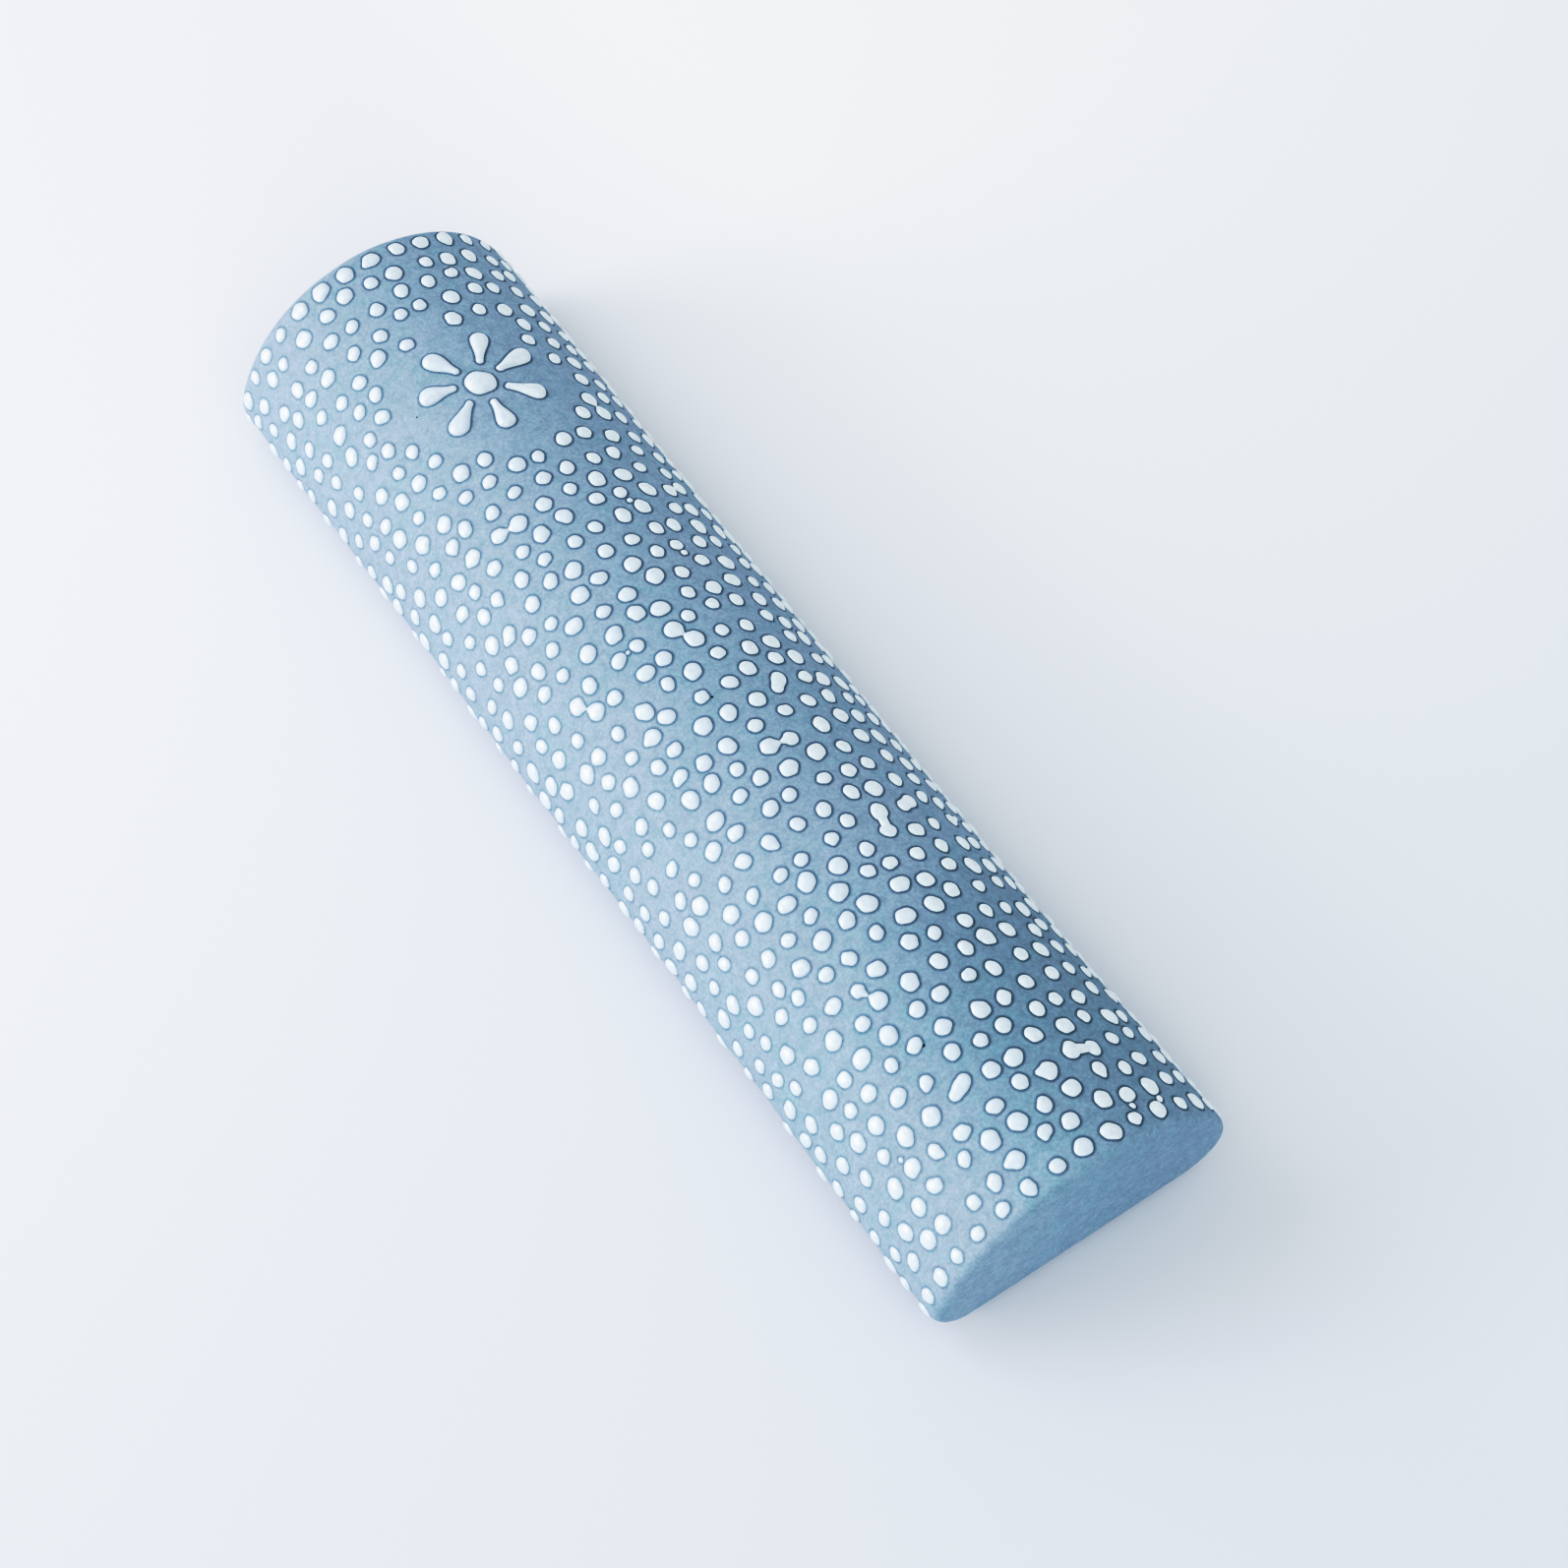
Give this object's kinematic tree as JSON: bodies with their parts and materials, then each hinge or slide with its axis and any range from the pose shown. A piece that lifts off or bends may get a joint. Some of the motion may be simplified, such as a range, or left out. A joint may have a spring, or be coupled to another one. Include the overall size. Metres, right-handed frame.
{
  "type": "door post scroll case",
  "caption": "Half-round ceramic scroll case with a flat back, raised slip dots, a plug in its top end, a rolled parchment inside and foam tape pads.",
  "frame": {"origin": "middle of the mounting plane, which is the outer face of both tape pads", "axes": "+Z out of the wall through the dome's crown, +Y up the door post towards the plugged end, +X to the right"},
  "size_m": [0.032, 0.1206, 0.0185],
  "materials": {
    "blue_ceramic": "matte",
    "white_slip": "satin",
    "stopper_rubber": "matte",
    "parchment": "matte",
    "clear_film": "clear gloss",
    "foam_tape": "matte"
  },
  "bodies": {
    "ceramic_body": {"front_shell": "blue_ceramic", "back_plate": "blue_ceramic", "bottom_end_cap": "blue_ceramic", "top_end_cap": "blue_ceramic", "slip_dots": "white_slip", "slip_flower": "white_slip", "foam_pad_top": "foam_tape", "foam_pad_bottom": "foam_tape"},
    "stopper": {"stopper": "stopper_rubber"},
    "scroll": {"parchment_scroll": "parchment", "scroll_sleeve": "clear_film"}
  },
  "joints": [
    {"name": "stopper_pull", "type": "slide", "parent": "ceramic_body", "child": "stopper", "axis": [0, 1, 0], "range_m": [0, 0.13]},
    {"name": "scroll_draw", "type": "slide", "parent": "ceramic_body", "child": "scroll", "axis": [0, 1, 0], "range_m": [0, 0.117]}
  ],
  "couplings": [
    {"joint": "scroll_draw", "follows": "stopper_pull", "ratio": 0.9}
  ]
}
